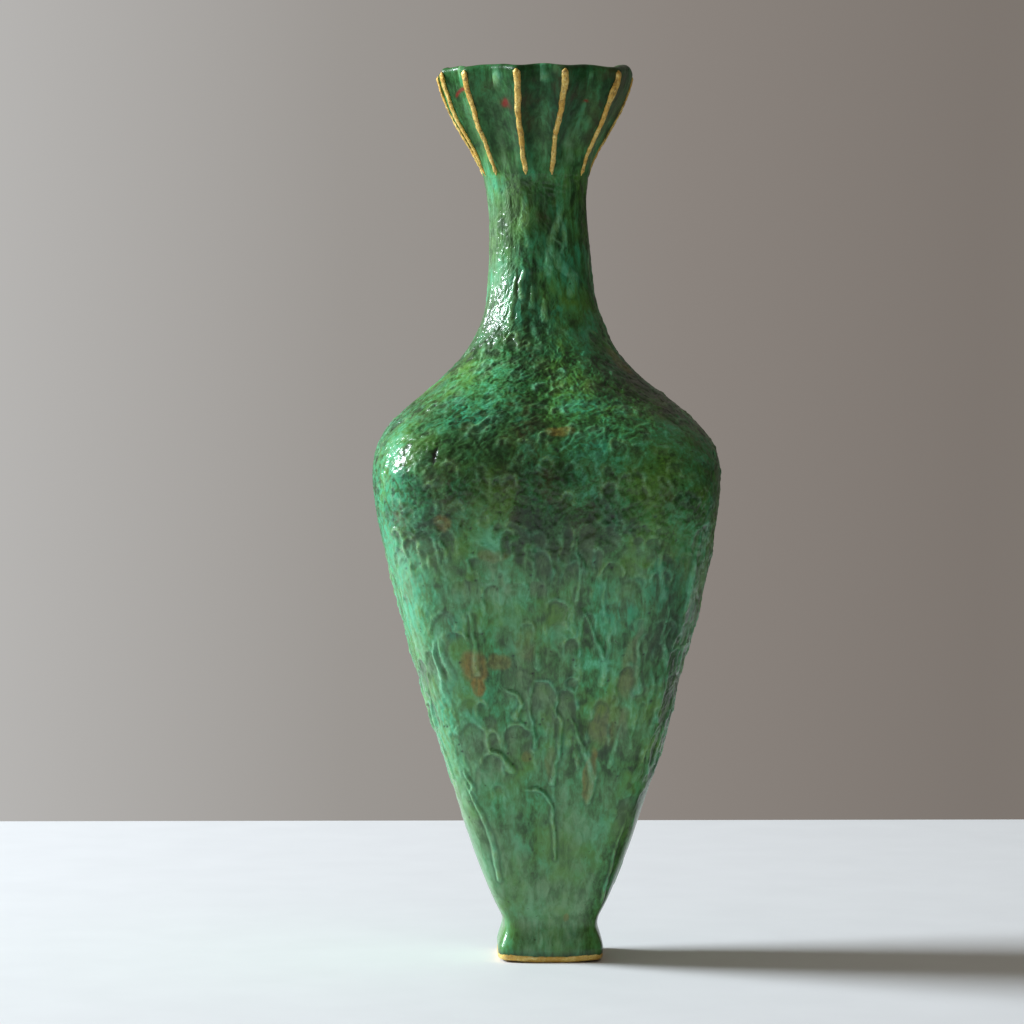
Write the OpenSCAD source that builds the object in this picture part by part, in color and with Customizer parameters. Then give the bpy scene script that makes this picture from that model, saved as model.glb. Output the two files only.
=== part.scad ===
// Hand-built stoneware vase: soft-square body on a flared square foot, narrow neck
// and a fluted mouth with gilded ribs. The clay sections are luted together with
// stepped lap joints. Millimetres, +Z up, origin at the middle of the underside,
// front face towards -Y.

/* [Overall] */
// Height from the table to the rim
vase_height = 440; // [420:5:480]
// How far the mouth stands to the left of the foot, towards -X
neck_lean = 7.4; // [0:0.2:12]
// Thickness of the clay wall
wall = 5; // [4:0.5:6]
// Height of the stepped lap between two sections
lap = 4; // [3:0.5:5]

/* [Foot] */
// Width across the flared foot
foot_width = 53; // [50:1:60]
// Width across the narrow waist above the foot
waist_width = 49; // [46:1:52]
// Height of the waist
waist_height = 19; // [17:1:21]
// Thickness of the base slab that closes the bottom
slab_height = 7; // [6:0.5:8]

/* [Body] */
// Width across the belly
belly_width = 171; // [150:1:190]
// Height of the belly, where the body is widest
belly_height = 239; // [230:1:250]
// Height of the joint between the lower and the upper body wall
wall_joint_height = 130; // [110:5:150]

/* [Neck] */
// Width across the neck at its narrowest
neck_width = 48.6; // [44:0.2:56]
// Height where the shoulder has become the neck
neck_start = 340; // [330:1:345]
// Height of the narrowest place, under the mouth
neck_end = 374; // [370:1:378]
// Height of the joint between the shoulder and the neck
neck_joint_height = 314; // [308:1:320]

/* [Mouth] */
// Width across the mouth, over the ridges between the flutes
mouth_width = 100; // [90:1:104]
// Height of the joint between the neck and the mouth
mouth_joint_height = 388; // [386:1:390]
// Depth of the flutes at the rim
flute_depth = 5; // [2:0.5:6]

/* [Gilding] */
// How far a gilded rib stands proud of the ridge that it covers
rib_height = 1.6; // [1:0.1:2.2]
// Half the angle that a rib covers, seen from the axis
rib_half_angle = 2.3; // [1.5:0.1:2.6]
// Thickness of the gilded band round the base slab
band_thickness = 0.6; // [0.4:0.1:1]
// Height of the band's upper edge
band_height = 4.2; // [3.5:0.1:5]

/* [Hidden] */
// Where the ribs stand round the mouth, uneven as pinched by hand; 270 faces the front.
rib_angles = [17, 45, 74, 103, 134, 166, 199, 224, 258, 286, 322];
ribs = len(rib_angles);
columns_per_rib = 6;
columns = ribs * columns_per_rib;
// Angle of the body's first column
first_column_angle = 10;
// The columns crowd towards the four corners by this many degrees.
corner_pull = 9;

foot_half = foot_width / 2;
waist_half = waist_width / 2;
belly_half = belly_width / 2;
neck_half = neck_width / 2;
mouth_half = mouth_width / 2;
lip = wall / 2;
rib_rows = 12;

// Stations of the profile, placed between the driving dimensions by shares of the rise
// and of the change in width.
function body_station(share_up, share_out, square, lean_share) = [
    waist_height + share_up * (belly_height - waist_height),
    waist_half + share_out * (belly_half - waist_half),
    square,
    lean_share
];
function shoulder_station(share_up, share_in, square, lean_share) = [
    belly_height + share_up * (neck_start - belly_height),
    belly_half + share_in * (neck_half + 0.9 - belly_half),
    square,
    lean_share
];
function mouth_station(share_up, share_out, square, lean_share) = [
    neck_end + share_up * (vase_height - neck_end),
    neck_half + share_out * (mouth_half - neck_half),
    square,
    lean_share
];

// The profile: height, half width, how square the section is (2 is round) and how much
// of the neck's lean the section has.
stations = [
    [0, foot_half - 0.3, 9, 0],
    [slab_height, foot_half - 0.1, 9, 0],
    [slab_height + 5, foot_half - 1.2, 8, 0],
    body_station(0, 0, 7, 0),
    body_station(0.041, 0.05, 7, 0),
    body_station(0.187, 0.25, 6.5, 0),
    body_station(0.415, 0.5, 6, 0.02),
    body_station(0.720, 0.81, 5.2, 0.08),
    body_station(0.890, 0.95, 4.6, 0.2),
    body_station(1, 1, 4.3, 0.22),
    shoulder_station(0.110, 0.022, 4.1, 0.21),
    shoulder_station(0.225, 0.118, 3.8, 0.2),
    shoulder_station(0.425, 0.48, 3.2, 0.3),
    shoulder_station(0.600, 0.78, 2.8, 0.44),
    shoulder_station(0.780, 0.94, 2.6, 0.54),
    shoulder_station(1, 1, 2.5, 0.64),
    mouth_station(0, 0, 2.4, 0.85),
    mouth_station(0.200, 0.06, 2.4, 0.94),
    mouth_station(0.390, 0.28, 2.3, 1),
    mouth_station(0.630, 0.65, 2.1, 1.02),
    mouth_station(0.780, 0.84, 2, 1),
    mouth_station(0.940, 0.985, 2, 1),
    mouth_station(1, 1, 2, 1)
];
last_station = len(stations) - 1;

// Slope of a station's value, from its neighbours on both sides.
function tangent(i, value) =
    let (low = stations[max(i - 1, 0)], high = stations[min(i + 1, last_station)])
    (high[value] - low[value]) / (high[0] - low[0]);

// A smooth curve through the stations' values.
function profile(z, value) =
    let (
        i = max([for (s = [0 : last_station - 1]) if (s == 0 || stations[s][0] <= z) s]),
        a = stations[i],
        b = stations[i + 1],
        span = b[0] - a[0],
        t = (z - a[0]) / span
    )
    a[value] * (1 + 2 * t) * pow(1 - t, 2)
    + b[value] * t * t * (3 - 2 * t)
    + span * t * (1 - t) * (tangent(i, value) * (1 - t) - tangent(i + 1, value) * t);

function slope(z) = profile(z + 0.5, 1) - profile(z - 0.5, 1);

// The wall measured level, so that it keeps its thickness where the body slopes.
function level_wall(z) = wall * sqrt(1 + pow(min(abs(slope(z)), 1.3), 2));

function lean(z) = -neck_lean * profile(z, 3);

function smooth(t) = let (c = min(max(t, 0), 1)) c * c * (3 - 2 * c);

// How deep the flutes are at a height: none under the mouth, full at the rim.
function flute_at(z) =
    flute_depth * smooth((z - mouth_joint_height) / (vase_height - mouth_joint_height));

function body_angle(column) =
    let (even = first_column_angle + column * 360 / columns)
    even + corner_pull * sin(4 * even);

// Angle of one of the mouth's columns: three under each rib, the rest in the flute.
function mouth_angle(column) =
    let (
        rib = floor(column / columns_per_rib),
        place = column % columns_per_rib,
        here = rib_angles[rib],
        next = rib == ribs - 1 ? rib_angles[0] + 360 : rib_angles[rib + 1],
        gap = next - here - 2 * rib_half_angle
    )
    place == columns_per_rib - 1 ? next - rib_half_angle
    : here + (place == 0 ? 0 : rib_half_angle + (place - 1) * gap / (columns_per_rib - 2));

// The neck's columns turn from the body's angles to the mouth's as they rise.
function column_angle(column, z) =
    let (t = smooth((z - neck_joint_height) / (mouth_joint_height - neck_joint_height)))
    body_angle(column) * (1 - t) + mouth_angle(column) * t;

// 0 on a rib's ridge and 1 in the middle of a flute.
function flute_share(column) =
    let (
        rib = floor(column / columns_per_rib),
        here = rib_angles[rib],
        next = rib == ribs - 1 ? rib_angles[0] + 360 : rib_angles[rib + 1]
    )
    sin(180 * (mouth_angle(column) - here) / (next - here));

function section_radius(angle, half, square) =
    half / pow(pow(abs(cos(angle)), square) + pow(abs(sin(angle)), square), 1 / square);

// One point of the wall: depth is 0 on the outside, 1 on the inside; inset is extra, in mm.
function wall_point(column, z, depth, inset = 0) =
    let (
        angle = column_angle(column, z),
        half = profile(z, 1) - depth * level_wall(z) - inset,
        radius = section_radius(angle, half, profile(z, 2))
            - flute_at(z) * flute_share(column) * (1 - 0.2 * depth)
    )
    [lean(z) + radius * cos(angle), radius * sin(angle), z];

function ring(z, depth, inset = 0) =
    [for (column = [0 : columns - 1]) wall_point(column, z, depth, inset)];

function level(low, high, row, rows) = low + (high - low) * row / rows;

// Two triangles between neighbouring points of two rings, wound to face outwards.
function band_faces(lower, upper, n) = [
    for (k = [0 : n - 1])
        let (a = lower * n + k, b = lower * n + (k + 1) % n, c = upper * n + (k + 1) % n, d = upper * n + k)
        each [[a, d, c], [a, c, b]]
];

// A shell whose rings run up the outside and down the inside.
module shell_of(rings) {
    n = len(rings[0]);
    polyhedron(
        [for (one = rings) each one],
        [for (i = [0 : len(rings) - 1]) each band_faces(i, (i + 1) % len(rings), n)]
    );
}

// The sides of a stack of rings.
function side_faces(rings) = [
    for (i = [0 : len(rings) - 2]) each band_faces(i, i + 1, len(rings[0]))
];

// A bar closed by a flat face at its first and its last ring.
module bar_of(rings) {
    n = len(rings[0]);
    top = (len(rings) - 1) * n;
    polyhedron(
        [for (one = rings) each one],
        concat(
            [[for (k = [0 : n - 1]) k]],
            side_faces(rings),
            [[for (k = [n - 1 : -1 : 0]) top + k]]
        )
    );
}

// A slab closed by fans of triangles about the middles of its first and its last ring.
module slab_of(rings) {
    n = len(rings[0]);
    top = (len(rings) - 1) * n;
    low_middle = len(rings) * n;
    polyhedron(
        concat(
            [for (one = rings) each one],
            [[0, 0, rings[0][0][2]], [0, 0, rings[len(rings) - 1][0][2]]]
        ),
        concat(
            [for (k = [0 : n - 1]) [k, (k + 1) % n, low_middle]],
            side_faces(rings),
            [for (k = [0 : n - 1]) [top + (k + 1) % n, top + k, low_middle + 1]]
        )
    );
}

// A clay section from low to high. It stands round the spigot of the section below
// and carries a spigot of its own, half the wall thick, for the section above.
module section(low, high, rows, socket = true, spigot = true) {
    inner_low = low + (socket ? lap : 0);
    inner_high = high + (spigot ? lap : 0);
    shell_of(concat(
        [for (i = [0 : rows]) ring(level(low, high, i, rows), 0)],
        spigot ? [ring(high, 0.5), ring(high + lap, 0.5)] : [],
        [for (i = [rows : -1 : 0]) ring(level(inner_low, inner_high, i, rows), 1)],
        socket ? [ring(low + lap, 0.5), ring(low, 0.5)] : []
    ));
}

module base_slab() {
    color("burlywood")
        slab_of([
            ring(0, 0, band_thickness + 1),
            ring(0.4, 0, band_thickness + 0.35),
            ring(1.4, 0, band_thickness),
            ring(band_height, 0, band_thickness),
            ring(band_height, 0),
            ring(slab_height, 0)
        ]);
}

module base_gilding() {
    color("goldenrod")
        shell_of([
            ring(0.4, 0, 0.35),
            ring(1.4, 0),
            ring(band_height, 0),
            ring(band_height, 0, band_thickness),
            ring(1.4, 0, band_thickness),
            ring(0.4, 0, band_thickness + 0.35)
        ]);
}

module foot_wall() {
    color("seagreen") section(slab_height, waist_height + 6, 6, socket = false);
}

module lower_wall() {
    color("seagreen") section(waist_height + 6, wall_joint_height, 9);
}

module upper_wall() {
    color("seagreen") section(wall_joint_height, belly_height + 2, 9);
}

module shoulder() {
    color("darkgreen") section(belly_height + 2, neck_joint_height, 13);
}

module neck() {
    color("darkgreen") section(neck_joint_height, mouth_joint_height, 9);
}

// Heights of the mouth's rings under the rounded lip, which the ribs share.
function mouth_level(row) = level(mouth_joint_height, vase_height - lip, row, rib_rows);

module mouth() {
    lip_rings = [for (turn = [30 : 30 : 150])
        ring(vase_height - lip * (1 - sin(turn)), 0.5 - 0.5 * cos(turn))];
    color("forestgreen")
        shell_of(concat(
            [for (row = [0 : rib_rows]) ring(mouth_level(row), 0)],
            lip_rings,
            [for (row = [rib_rows : -1 : 2]) ring(mouth_level(row), 1)],
            [ring(mouth_joint_height + lap, 1)],
            [ring(mouth_joint_height + lap, 0.5), ring(mouth_joint_height, 0.5)]
        ));
}

// Cross-section of a rib at one of the mouth's rings: the ridge and its two
// shoulders behind, and a rounded crest in front.
function rib_ring(rib, row) =
    let (
        z = mouth_level(row),
        middle = rib * columns_per_rib,
        left = (middle + 1) % columns,
        right = (middle + columns - 1) % columns,
        swell = 0.35 + 0.65 * sin(180 * (row - 0.4) / (rib_rows + 0.9))
    )
    [
        wall_point(right, z, 0),
        wall_point(right, z, 0, -0.5 * rib_height * swell),
        wall_point(middle, z, 0, -rib_height * swell),
        wall_point(left, z, 0, -0.5 * rib_height * swell),
        wall_point(left, z, 0),
        wall_point(middle, z, 0)
    ];

module rib(index) {
    color("gold") bar_of([for (row = [1 : rib_rows]) rib_ring(index, row)]);
}

base_slab();
base_gilding();
foot_wall();
lower_wall();
upper_wall();
shoulder();
neck();
mouth();
rib(0);  // rib_01
rib(1);  // rib_02
rib(2);  // rib_03
rib(3);  // rib_04
rib(4);  // rib_05
rib(5);  // rib_06
rib(6);  // rib_07
rib(7);  // rib_08
rib(8);  // rib_09
rib(9);  // rib_10
rib(10);  // rib_11
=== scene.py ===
"""Looks of the green stoneware vase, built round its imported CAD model."""

import math

import bpy
import numpy as np
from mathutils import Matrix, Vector
from mathutils.bvhtree import BVHTree


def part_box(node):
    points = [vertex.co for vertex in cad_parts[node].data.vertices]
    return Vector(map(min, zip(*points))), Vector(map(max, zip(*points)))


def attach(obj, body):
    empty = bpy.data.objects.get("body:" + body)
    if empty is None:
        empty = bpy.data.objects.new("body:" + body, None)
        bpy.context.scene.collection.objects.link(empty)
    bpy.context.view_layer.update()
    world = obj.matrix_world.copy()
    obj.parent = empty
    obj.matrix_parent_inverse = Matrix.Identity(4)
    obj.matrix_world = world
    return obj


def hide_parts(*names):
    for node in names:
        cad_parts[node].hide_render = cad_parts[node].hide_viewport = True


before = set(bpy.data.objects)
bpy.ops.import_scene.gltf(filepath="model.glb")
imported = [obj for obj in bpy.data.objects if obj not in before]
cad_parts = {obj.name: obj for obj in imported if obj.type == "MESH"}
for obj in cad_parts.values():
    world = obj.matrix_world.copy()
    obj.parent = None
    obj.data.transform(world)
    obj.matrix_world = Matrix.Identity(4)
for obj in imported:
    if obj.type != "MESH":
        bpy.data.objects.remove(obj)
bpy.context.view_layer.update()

# Lengths in this script are millimetres until a mesh is made.
MM = 0.001
SEED = 11

# Clay nodes from the foot to the mouth, with the rows of points up each one's outside.
CLAY_ROWS = {
    "foot_wall": 44,
    "lower_wall": 124,
    "upper_wall": 124,
    "shoulder": 124,
    "neck": 108,
    "mouth": 78,
}
COLUMNS = 720
INNER_ROWS = 8
MOUTH_INNER_ROWS = 36
LIP_ROWS = 10

# The glaze of the foot runs down over the edge of the base slab to this height.
SKIRT_LOW = 2.2
# Height of a stepped lap, and thickness of the wall.
LAP = 4.0
WALL = 5.0
# Rays are cast this far above a height, to miss the edges of the CAD's faces.
OFF_EDGE = 0.013


# ---------------------------------------------------------------- small helpers

def smooth(t):
    """0 below t = 0, 1 above t = 1, and a soft step between."""
    t = np.clip(t, 0.0, 1.0)
    return t * t * (3.0 - 2.0 * t)


def bump(t):
    """A bell that is 1 at t = 0 and nearly 0 at t = 2."""
    return np.exp(-t * t)


def between(z, low, high, soft):
    """1 between two heights, with soft edges."""
    return smooth((z - low) / soft + 0.5) * smooth((high - z) / soft + 0.5)


def near_rim(z):
    """0 below the top of the mouth and 1 at its rim."""
    return smooth((z - 424) / 14)


def mix(a, b, share):
    return a + (b - a) * share


def unit(vectors):
    """Vectors scaled to a length of 1."""
    return vectors / np.maximum(np.linalg.norm(vectors, axis=-1, keepdims=True), 1e-12)


class Noise:
    """Seeded gradient noise in three dimensions, from about -1 to 1."""

    def __init__(self, seed):
        rng = np.random.default_rng(seed)
        self.order = np.tile(rng.permutation(256), 3)
        self.steps = unit(rng.normal(size=(256, 3)))

    def __call__(self, x, y, z):
        cells = [np.floor(a).astype(int) for a in (x, y, z)]
        parts = [a - c for a, c in zip((x, y, z), cells)]
        fades = [p * p * p * (p * (p * 6 - 15) + 10) for p in parts]
        total = 0.0
        for i in (0, 1):
            first = self.order[(cells[0] + i) & 255]
            for j in (0, 1):
                second = self.order[first + ((cells[1] + j) & 255)]
                for k in (0, 1):
                    step = self.steps[self.order[second + ((cells[2] + k) & 255)]]
                    dot = (
                        step[..., 0] * (parts[0] - i)
                        + step[..., 1] * (parts[1] - j)
                        + step[..., 2] * (parts[2] - k)
                    )
                    weight = (
                        (fades[0] if i else 1 - fades[0])
                        * (fades[1] if j else 1 - fades[1])
                        * (fades[2] if k else 1 - fades[2])
                    )
                    total = total + weight * dot
        return total * 1.6


# ---------------------------------------------------------------- the CAD surface

def clay_tree():
    """The clay nodes' faces, in millimetres, ready for ray casts."""
    points, faces = [], []
    for name in ["base_slab", *CLAY_ROWS]:
        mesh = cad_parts[name].data
        start = len(points)
        points += [v.co / MM for v in mesh.vertices]
        faces += [[start + i for i in p.vertices] for p in mesh.polygons]
    return BVHTree.FromPolygons(points, faces)


def cast_section(tree, centre, z, angles, outside):
    """Radii of the clay at one height: its outside, or the inside of its wall."""
    reach = 200.0
    middle = Vector((centre, 0, z + OFF_EDGE))
    radii = []
    for angle in angles:
        out = Vector((math.cos(angle), math.sin(angle), 0))
        start, heading = (middle + out * reach, -out) if outside else (middle, out)
        distance = tree.ray_cast(start, heading, reach)[3]
        if distance is None:
            radii.append(0.0)
        else:
            radii.append(reach - distance if outside else distance)
    return np.array(radii)


def soften_up(values, sigma):
    """Gaussian blur along the heights, one sample per millimetre."""
    reach = int(4 * sigma) + 1
    taps = np.exp(-0.5 * (np.arange(-reach, reach + 1) / sigma) ** 2)
    taps /= taps.sum()
    low = 2 * values[:1] - values[reach:0:-1]
    high = 2 * values[-1:] - values[-2:-reach - 2:-1]
    padded = np.concatenate([low, values, high])
    count = len(values)
    return sum(tap * padded[i:i + count] for i, tap in enumerate(taps))


def soften_round(values, sigma_degrees):
    """Gaussian blur round each section, with a width of its own for each height."""
    count = values.shape[1]
    waves = np.fft.rfftfreq(count, 1 / count)
    sigma = np.radians(sigma_degrees)[:, None]
    faded = np.fft.rfft(values, axis=1) * np.exp(-0.5 * (sigma * waves) ** 2)
    return np.fft.irfft(faded, count, axis=1)


class Surface:
    """The clay's outside and inside as smooth functions of angle and height."""

    def __init__(self):
        self.angles = np.radians(np.arange(0, 360, 1.0))
        tree = clay_tree()
        self.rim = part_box("mouth")[1][2] / MM - WALL / 2
        self.heights = np.linspace(0.02, self.rim, int(self.rim) + 1)
        centres, outer, inner = [], [], []
        centre = 0.0
        for z in self.heights:
            for _ in range(2):
                radii = cast_section(tree, centre, z, self.angles[::5], True)
                x = radii * np.cos(self.angles[::5])
                y = radii * np.sin(self.angles[::5])
                cross = x * np.roll(y, -1) - np.roll(x, -1) * y
                centre += ((x + np.roll(x, -1)) * cross).sum() / (3 * cross.sum())
            centres.append(centre)
        centres = soften_up(np.array(centres), 6.0)
        for centre, z in zip(centres, self.heights):
            outer.append(cast_section(tree, centre, z, self.angles, True))
            inner.append(cast_section(tree, centre, z, self.angles, False))
        self.centres = centres
        self.outer = self.polish(np.array(outer))
        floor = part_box("base_slab")[1][2] / MM
        inner = np.array(inner)
        first = np.searchsorted(self.heights, floor + 1.0)
        inner[:first] = inner[first]
        self.inner = self.polish(inner)

    def polish(self, radii):
        """Rounds off the facets, less so at the foot and at the mouth's ribs."""
        z = self.heights
        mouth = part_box("mouth")[0][2] / MM
        fine = np.maximum(1 - smooth((z - 22) / 14), smooth((z - mouth + 12) / 12))
        radii = mix(soften_up(radii, 5.0), soften_up(radii, 1.4), fine[:, None])
        return soften_round(radii, mix(2.4, 1.1, smooth((z - mouth) / 20)))

    def points(self, table, angles, z):
        """Points of the outside or inside at some angles, for each of some heights."""
        wrapped = np.concatenate([table, table[:, :1]], axis=1)
        turn = np.append(self.angles, 2 * math.pi)
        level = np.clip(np.searchsorted(self.heights, z) - 1, 0, len(self.heights) - 2)
        share = (z - self.heights[level]) / (self.heights[level + 1] - self.heights[level])
        rows = mix(wrapped[level], wrapped[level + 1], share[:, None])
        radii = np.array([np.interp(angles, turn, row) for row in rows])
        centre = np.interp(z, self.heights, self.centres)[:, None]
        x = centre + radii * np.cos(angles)
        y = radii * np.sin(angles)
        return np.stack([x, y, np.broadcast_to(z[:, None], x.shape)], axis=-1)

    def outward(self, points, z):
        """Level directions from the clay's centre line to rings of points."""
        centre = np.stack([np.interp(z, self.heights, self.centres), 0 * z, z], axis=-1)
        return unit(points - centre[:, None])


surface = Surface()


def even_angles():
    """Angles that stand evenly along the outline at the middle of the body."""
    middle = 0.5 * (surface.heights[0] + surface.heights[-1])
    fine = np.radians(np.arange(0, 360, 0.25))
    ring = surface.points(surface.outer, fine, np.array([middle]))[0]
    steps = np.linalg.norm(np.roll(ring, -1, axis=0) - ring, axis=1)
    length = np.concatenate([[0], np.cumsum(steps)])
    return np.interp(np.arange(COLUMNS) * length[-1] / COLUMNS, length, np.append(fine, 2 * math.pi))


def joint_heights():
    """The lowest height of each clay node, and the rim."""
    lows = [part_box(name)[0][2] / MM for name in CLAY_ROWS]
    return [SKIRT_LOW, *lows[1:], surface.rim]


def outside_rows():
    """Heights of the outside's rows, spaced by distance along the wall, and each node's share."""
    fine = np.linspace(surface.heights[0], surface.heights[-1], 4000)
    radius = np.interp(fine, surface.heights, surface.outer.mean(axis=1))
    run = np.concatenate([[0], np.cumsum(np.hypot(np.diff(fine), np.diff(radius)))])
    ends = joint_heights()
    rows, spans = [], {}
    for (name, count), low, high in zip(CLAY_ROWS.items(), ends, ends[1:]):
        part = np.linspace(np.interp(low, fine, run), np.interp(high, fine, run), count + 1)
        first = len(rows) - 1 if rows else 0
        rows += list(np.interp(part, run, fine))[1 if rows else 0:]
        spans[name] = (first, len(rows) - 1)
    rows = np.array(rows)
    return rows, np.interp(rows, fine, run), spans


ANGLES = even_angles()
ROW_Z, ROW_RUN, SPANS = outside_rows()
BASE = surface.points(surface.outer, ANGLES, ROW_Z)
SPACING = np.linalg.norm(np.roll(BASE, -1, axis=1) - BASE, axis=2).mean(axis=1)


def grid_normals(points):
    """Outward unit normals of a grid of points whose columns close on themselves."""
    around = np.roll(points, -1, axis=1) - np.roll(points, 1, axis=1)
    return unit(np.cross(around, np.gradient(points, axis=0)))


def corner_share():
    """For each column, 1 at a corner of the square foot and 0 in the middle of a side."""
    ring = surface.points(surface.outer, ANGLES, np.array([1.0]))[0]
    radius = np.hypot(ring[:, 0], ring[:, 1])
    return smooth((radius - radius.min()) / (radius.max() - radius.min()))


CORNER = corner_share()
Z = np.broadcast_to(ROW_Z[:, None], BASE.shape[:2])
FRONT = BASE[..., 1] < 0
# About -1 at the body's left-hand outline and 1 at its right-hand outline.
SIDE = BASE[..., 0] / BASE[..., 0].max(axis=1)[:, None]
# Degrees round from the right-hand side and from the left-hand side.
FROM_RIGHT = np.degrees(np.abs((ANGLES + math.pi) % (2 * math.pi) - math.pi))[None, :]
FROM_LEFT = 180 - FROM_RIGHT


# ---------------------------------------------------------------- noise on the surface

def space_noise(seed, size):
    """Noise in space with features of about one size."""
    return Noise(SEED + seed)(*(BASE[..., axis] / size for axis in range(3)))


STIR = np.stack([space_noise(40 + axis, 15.0) for axis in range(3)], axis=-1)
FINE_STIR = np.stack([space_noise(43 + axis, 5.0) for axis in range(3)], axis=-1)
STIRRED = BASE + 5.0 * STIR + 1.8 * FINE_STIR


def stirred_noise(seed, size, tall=1.0):
    """Noise whose patches have torn, painterly edges, drawn out downwards if tall is over 1."""
    scale = np.array([size, size, size * tall])
    return Noise(SEED + seed)(*np.moveaxis(STIRRED / scale, -1, 0))


def crackled_noise(seed, size):
    """Noise with thin crests between rounded hollows."""
    return 1 - 2 * np.abs(stirred_noise(seed, size))


def streak_noise(seed, width, length):
    """Streaks of about a width at the middle of the body, drawn out to a length."""
    turn = 2 * math.pi * np.arange(COLUMNS) / COLUMNS + 0.035 * STIR[..., 0] + 0.012 * FINE_STIR[..., 0]
    radius = 60.0 / width
    run = np.broadcast_to(ROW_RUN[:, None] / length, turn.shape)
    return Noise(SEED + seed)(radius * np.cos(turn), radius * np.sin(turn), run)


# ---------------------------------------------------------------- relief of the glaze

class Glaze:
    """Height of the glaze over the clay and the look of it, for each point of the outside."""

    def __init__(self):
        shape = BASE.shape[:2]
        self.rng = np.random.default_rng(SEED)
        self.film = np.full(shape, 0.5)
        self.height = np.zeros(shape)
        self.milk = np.zeros(shape)
        self.ridge = np.zeros(shape)
        self.rust = np.zeros(shape)
        self.hole = np.zeros(shape)
        # line: dark lines beside raised glaze, partly darker thin glaze, partly painted shade.
        self.line = np.zeros(shape)
        self.sway = 1.5 * space_noise(70, 8.0) + 0.45 * space_noise(71, 3.5)
        self.dip = 1.5 * space_noise(72, 8.0) + 0.45 * space_noise(73, 3.5)
        self.patchy = smooth(0.5 + 0.8 * space_noise(74, 5.0))

    def near(self, run, column, above, below, reach, warp=0.0):
        """The grid points near a place, and how far across and down they are from it."""
        first = np.searchsorted(ROW_RUN, run - below)
        last = min(max(np.searchsorted(ROW_RUN, run + above), first + 1), len(ROW_RUN))
        first = min(first, last - 1)
        spacing = SPACING[first:last]
        half = min(int(reach / spacing.min()) + 1, COLUMNS // 2 - 1)
        steps = np.arange(-half, half + 1)
        columns = (int(round(column)) + steps) % COLUMNS
        box = np.ix_(range(first, last), columns)
        across = (steps + round(column) - column) * spacing[:, None]
        down = (run - ROW_RUN[first:last])[:, None] + 0 * across
        return box, across + warp * self.sway[box], down + warp * self.dip[box]

    def scallop(self, run, column, width, length, depth, rim, slant, film, milk, warp=1.0):
        """A thin place in the glaze: an arch with a raised rim, which fades out below."""
        reach = width + abs(slant) * length + 3
        box, across, down = self.near(run, column, 5.0, length + width + 2, reach, warp)
        radius = width / 2
        side = across - slant * down
        hang = np.clip(down, radius, max(length, radius + 0.1))
        gap = np.hypot(side, down - hang) - radius
        fade = 1 - smooth((down / length - 0.35) / 0.65)
        inside = smooth(-gap / 1.3) * fade
        legs = 1 - smooth((down / length - 0.55) / 0.6)
        swell = 0.75 + 0.7 * np.clip(down / length, 0, 1)
        edge = bump((gap - 0.3) / 1.0) * legs * (0.15 + 0.85 * self.patchy[box])
        self.height[box] = mix(self.height[box], -depth, 0.8 * inside) + rim * edge * swell
        # A dark line just inside the arch's top: partly thinner glaze, partly painted shade under the
        # rim.
        under = bump((gap + 1.3) / 0.9) * fade * smooth(1.6 - down / radius)
        self.line[box] = np.maximum(self.line[box] * (1 - inside), min(1.0, 2 * rim) * under)
        self.film[box] = mix(self.film[box], film, inside)
        self.milk[box] = mix(self.milk[box], milk, inside)
        shine = edge * min(1.0, rim / 0.45)
        self.ridge[box] = np.maximum(self.ridge[box] * (1 - inside), shine)

    def drip(self, run, column, length, width, height, bulb, wander, phase, slant):
        """A raised run of thick glaze with a round or pointed end."""
        reach = width * (1 + abs(bulb)) + 2 * abs(wander) + abs(slant) * length + 3
        box, across, down = self.near(run, column, 3.0, length + width + 2, reach, 0.6)
        t = np.clip(down / length, 0, 1)
        path = wander * (np.sin(5 * t + phase) - math.sin(phase)) + slant * down
        half = width / 2 * (0.55 + 0.45 * t + bulb * bump((t - 0.93) / 0.1))
        end = smooth((length + half - down) / half) * smooth(down / (0.35 * length))
        self.raise_run(box, across - path, half, height, end)

    def trail(self, path, width, height, bulb):
        """A raised run of thick glaze along a path of places, each a run and a column."""
        runs, columns = np.array(path).T
        middle = columns.mean()
        across_path = (columns - middle) * np.interp(runs, ROW_RUN, SPACING)
        down_path = runs[0] - runs
        reach = np.abs(across_path).max() + 2 * width + 2
        above = 2 * width - down_path.min()
        below = 2 * width + down_path.max()
        box, across, down = self.near(runs[0], middle, above, below, reach, 0.6)
        best = np.full(across.shape, 1e3)
        share = np.zeros(across.shape)
        lengths = np.hypot(np.diff(across_path), np.diff(down_path))
        done = 0.0
        for i, length in enumerate(lengths):
            step_x = across_path[i + 1] - across_path[i]
            step_y = down_path[i + 1] - down_path[i]
            side, fall = across - across_path[i], down - down_path[i]
            along = np.clip((side * step_x + fall * step_y) / length ** 2, 0, 1)
            gap = np.hypot(side - along * step_x, fall - along * step_y)
            closer = gap < best
            best = np.where(closer, gap, best)
            share = np.where(closer, (done + along * length) / lengths.sum(), share)
            done += length
        half = width / 2 * (0.6 + 0.4 * share + bulb * bump((share - 0.95) / 0.1))
        self.raise_run(box, best, half, height, smooth(0.25 + share / 0.15))

    def raise_run(self, box, gap, half, height, share):
        """Adds glaze within half a width of a line."""
        body = np.clip(1 - (gap / half) ** 2, 0, 1) ** 1.2 * share
        self.height[box] += height * body
        self.ridge[box] = np.maximum(self.ridge[box], body * (0.35 + 0.65 * self.patchy[box]))
        self.film[box] = mix(self.film[box], 0.75, body)
        # A dark line beside the run: partly darker thin glaze, partly painted shade where the run
        # stands up.
        beside = bump((np.abs(gap) - half - 0.3) / 0.7) * share * min(1.0, 1.3 * height)
        self.line[box] = np.maximum(self.line[box] * (1 - body), 0.8 * beside)

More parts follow.
